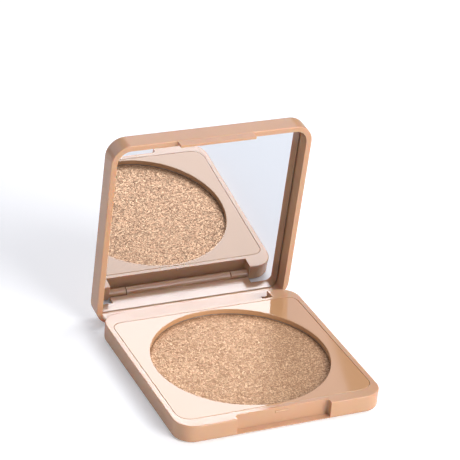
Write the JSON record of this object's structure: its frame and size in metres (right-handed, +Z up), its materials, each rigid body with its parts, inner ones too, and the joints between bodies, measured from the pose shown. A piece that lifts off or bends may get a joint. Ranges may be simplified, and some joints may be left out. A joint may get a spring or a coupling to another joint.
{
  "type": "powder compact",
  "caption": "Square makeup compact with a hinged mirror lid, a glossy inner deck and a round pan of shimmering pressed powder",
  "frame": {"origin": "centre of the base's flat underside", "axes": "+Z up, +X to the right seen from the front, +Y from the finger notch towards the hinge"},
  "size_m": [0.076, 0.0866, 0.0757],
  "materials": {
    "case_plastic": "satin",
    "deck_plastic": "high gloss",
    "pan_metal": "brushed",
    "powder": "pressed powder with fine sparkle",
    "adhesive": "matte foam tape",
    "label_paper": "matte, blank",
    "pin_steel": "drawn wire",
    "mirror": "polished"
  },
  "bodies": {
    "base": {"base_shell": "case_plastic", "deck_plate": "deck_plastic", "powder_pan": "pan_metal", "pressed_powder": "powder", "pan_adhesive": "adhesive", "base_label": "label_paper", "hinge_pin": "pin_steel"},
    "lid": {"lid_shell": "case_plastic", "mirror_glass": "mirror", "mirror_tape": "adhesive"}
  },
  "joints": [
    {"name": "lid_hinge", "type": "hinge", "parent": "base", "child": "lid", "pos_m": [0, 0.036, 0.0018], "axis": [-1, 0, 0], "range_deg": [-84, 3]}
  ]
}
